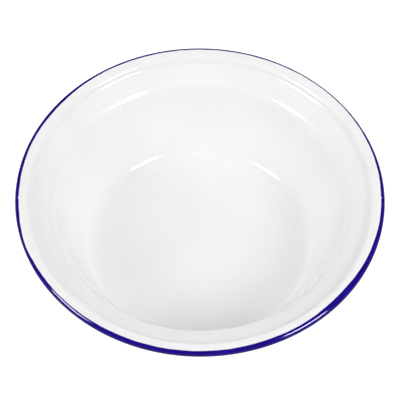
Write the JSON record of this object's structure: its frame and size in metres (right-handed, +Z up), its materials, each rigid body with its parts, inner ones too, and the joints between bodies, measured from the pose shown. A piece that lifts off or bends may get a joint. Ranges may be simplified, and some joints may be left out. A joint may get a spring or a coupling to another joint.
{
  "type": "enamel basin bowl",
  "caption": "Round enamelled steel basin with a flat floor, sloping wall, sloping ledge and stepped flange, and a blue rolled rim; holds water, food or washing.",
  "frame": {"origin": "on the basin's axis, in the plane of the table it stands on", "axes": "+Z up along the basin's axis of revolution, towards the open mouth; +X and +Y are free, because the basin is round"},
  "size_m": [0.3, 0.3, 0.076],
  "materials": {
    "bare_steel": "pressed and pickled sheet",
    "wire_steel": "drawn wire",
    "ground_enamel": "dark fired ground enamel, opaque",
    "white_enamel": "glossy white enamel, opaque",
    "outside_enamel": "glossy white enamel, opaque",
    "blue_enamel": "glossy cobalt blue enamel, opaque"
  },
  "bodies": {
    "root": {"steel_shell": "bare_steel", "rim_wire": "wire_steel", "ground_coat": "ground_enamel", "white_coat_inside": "white_enamel", "white_coat_outside": "outside_enamel", "blue_rim_coat": "blue_enamel"}
  },
  "joints": []
}
